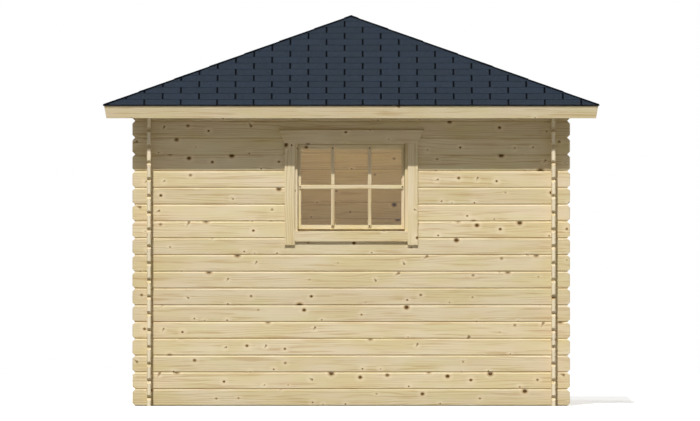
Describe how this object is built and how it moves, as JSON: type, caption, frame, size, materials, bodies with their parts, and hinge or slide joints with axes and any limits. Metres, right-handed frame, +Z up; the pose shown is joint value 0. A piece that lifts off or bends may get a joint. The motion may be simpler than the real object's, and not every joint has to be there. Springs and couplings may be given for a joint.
{
  "type": "log cabin",
  "caption": "Square garden log cabin with cross-notched log walls, a four-sided shingled roof, a barred window and a double door.",
  "frame": {"origin": "on the ground at the middle of the square plan, bottom centre of the bounding box", "axes": "+Z up; the window wall faces -Y and the door wall faces +X"},
  "size_m": [3.4, 3.4, 2.688],
  "materials": {
    "log_wood": "planed pale spruce, untreated",
    "trim_wood": "planed pale spruce, untreated",
    "roof_wood": "planed pale spruce, untreated",
    "joinery_wood": "sanded pale spruce, untreated",
    "shingle": "mineral-grained bitumen, matt",
    "hip_cap": "mineral-grained bitumen, matt",
    "glass": "clear float glass",
    "handle_metal": "brushed"
  },
  "bodies": {
    "root": {"front_logs_odd": "log_wood", "front_logs_even": "log_wood", "back_logs_odd": "log_wood", "back_logs_even": "log_wood", "left_logs_odd": "log_wood", "left_logs_even": "log_wood", "right_logs_odd": "log_wood", "right_logs_even": "log_wood", "king_block": "roof_wood", "hip_rafters": "roof_wood", "common_rafters": "roof_wood", "roof_boards_front": "roof_wood", "roof_boards_right": "roof_wood", "roof_boards_back": "roof_wood", "roof_boards_left": "roof_wood", "shingles_front": "shingle", "shingles_right": "shingle", "shingles_back": "shingle", "shingles_left": "shingle", "fascia_front": "trim_wood", "fascia_right": "trim_wood", "fascia_back": "trim_wood", "fascia_left": "trim_wood", "hip_cap_front_right": "hip_cap", "hip_cap_back_right": "hip_cap", "hip_cap_back_left": "hip_cap", "hip_cap_front_left": "hip_cap", "window_head_casing": "trim_wood", "window_side_casings": "trim_wood", "window_sill_casing": "trim_wood", "window_jambs": "joinery_wood", "window_head_and_sill": "joinery_wood", "sash_stiles": "joinery_wood", "sash_rails": "joinery_wood", "window_glass": "glass", "door_head_casing": "trim_wood", "door_side_casings": "trim_wood", "door_jambs": "joinery_wood", "door_head": "joinery_wood", "door_threshold": "joinery_wood", "door_leaf_left": "joinery_wood", "door_leaf_right": "joinery_wood", "door_glass": "glass", "door_handle": "handle_metal", "door_hinges": "handle_metal"}
  },
  "joints": []
}
